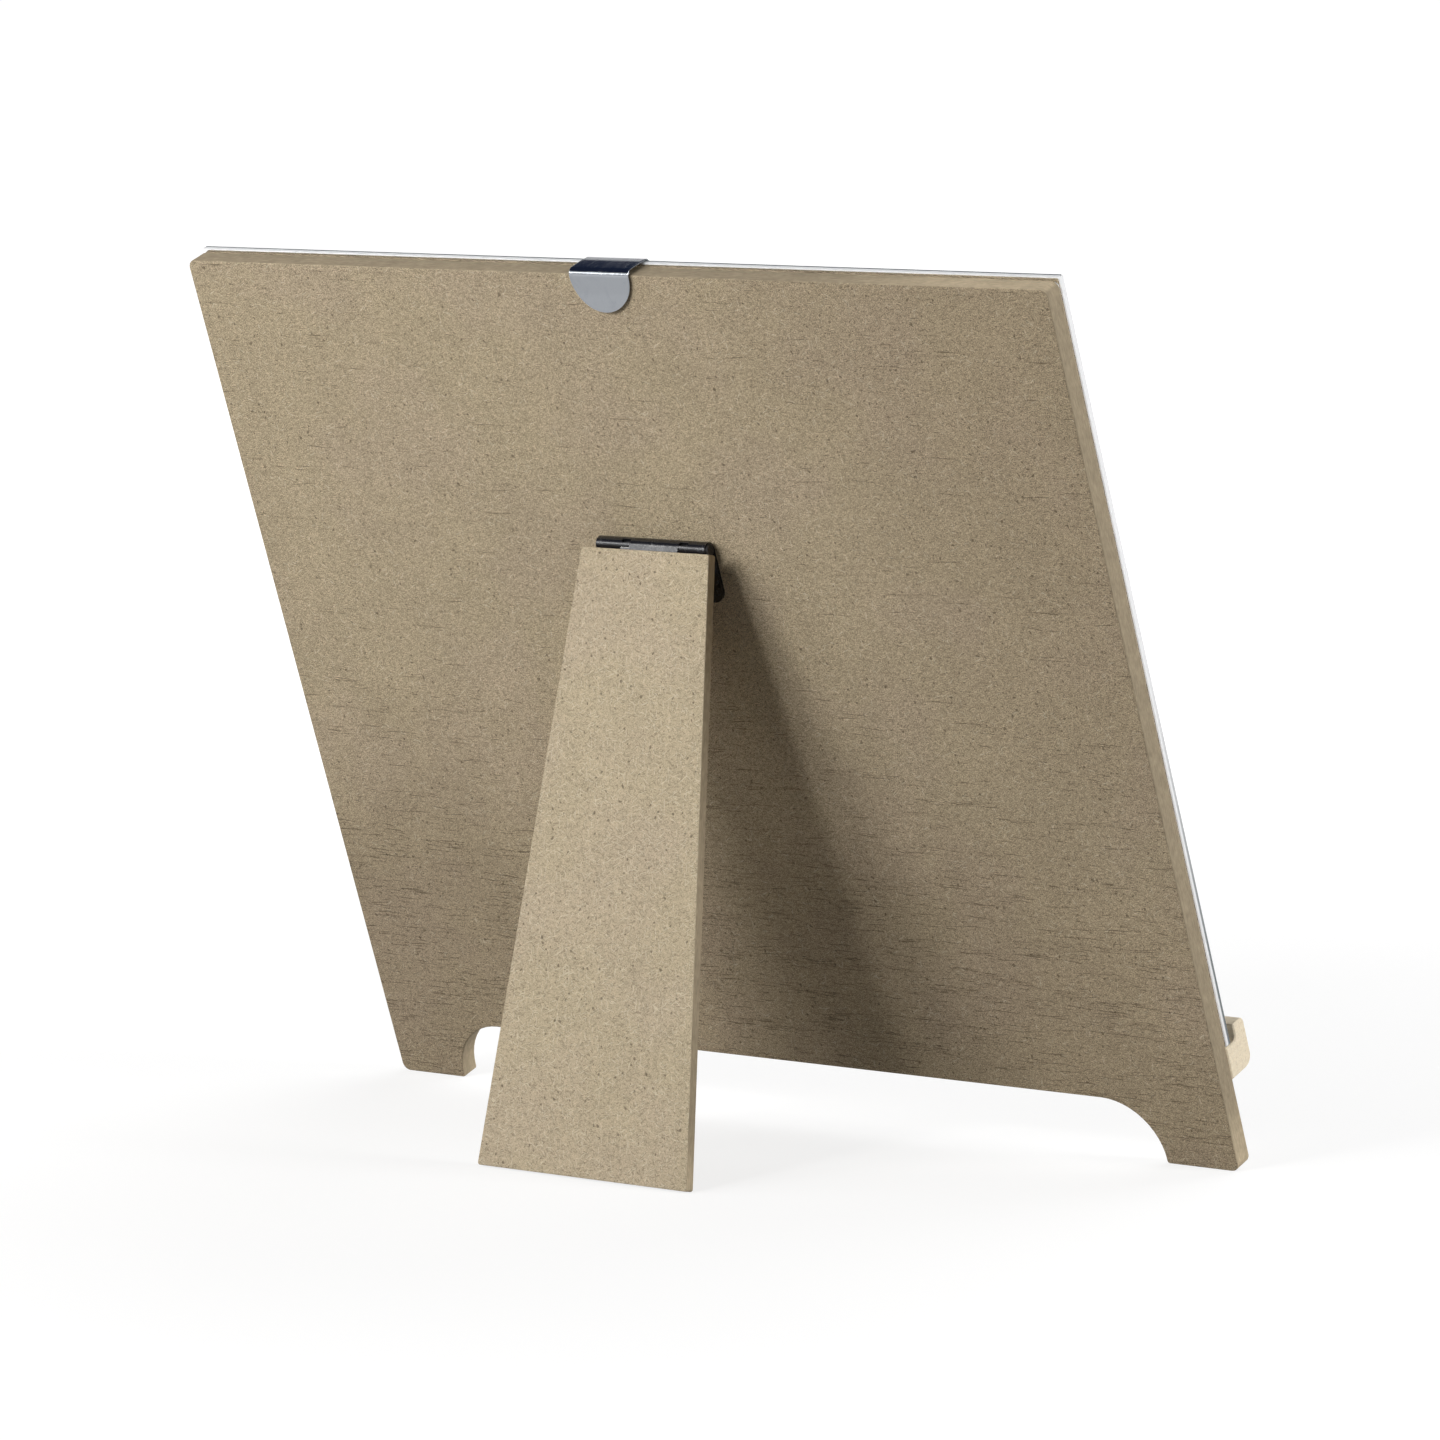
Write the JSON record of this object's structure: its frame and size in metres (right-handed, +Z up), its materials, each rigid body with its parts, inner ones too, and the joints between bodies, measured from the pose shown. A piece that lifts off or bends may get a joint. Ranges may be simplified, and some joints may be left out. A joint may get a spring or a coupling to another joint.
{
  "type": "easel back photo frame",
  "caption": "Frameless photo stand: fibreboard back with arched feet, wooden ledge, glass held by a spring clip, and a hinged easel strut.",
  "frame": {"origin": "middle of the base of the standing frame's box, on the surface that it stands on", "axes": "+Z up, +X to the right seen from the picture side, +Y out of the back towards the strut"},
  "size_m": [0.24, 0.0878, 0.2029],
  "materials": {
    "board_fibre": "raw medium density fibreboard, sawn and lightly sanded",
    "strut_fibre": "raw thin fibreboard, paler than the back board",
    "ledge_wood": "pale close-grained solid wood, clear matt finish",
    "pane_glass": "clear picture glass with ground edges",
    "card": "smooth white card",
    "clip_steel": "bright nickel plated spring steel",
    "hinge_black": "glossy black lacquer",
    "pin_steel": "blackened steel",
    "screw_black": "blackened steel"
  },
  "bodies": {
    "frame": {"back_board": "board_fibre", "ledge": "ledge_wood", "hinge_board_leaf": "hinge_black", "hinge_pin": "pin_steel", "board_leaf_screws": "screw_black"},
    "strut": {"strut": "strut_fibre", "hinge_strut_leaf": "hinge_black", "strut_leaf_screws": "screw_black"},
    "glazing": {"glass_pane": "pane_glass", "picture_card": "card"},
    "clip": {"spring_clip": "clip_steel"}
  },
  "joints": [
    {"name": "strut_fold", "type": "hinge", "parent": "frame", "child": "strut", "pos_m": [0, 0.01077, 0.13757], "axis": [-1, 0, 0], "range_deg": [0, 30.6]},
    {"name": "pane_lift", "type": "slide", "parent": "frame", "child": "glazing", "axis": [0, 0.3223, 0.9466], "range_m": [0, 0.012]},
    {"name": "clip_pull", "type": "slide", "parent": "glazing", "child": "clip", "axis": [0, 0.3223, 0.9466], "range_m": [0, 0.016]}
  ]
}
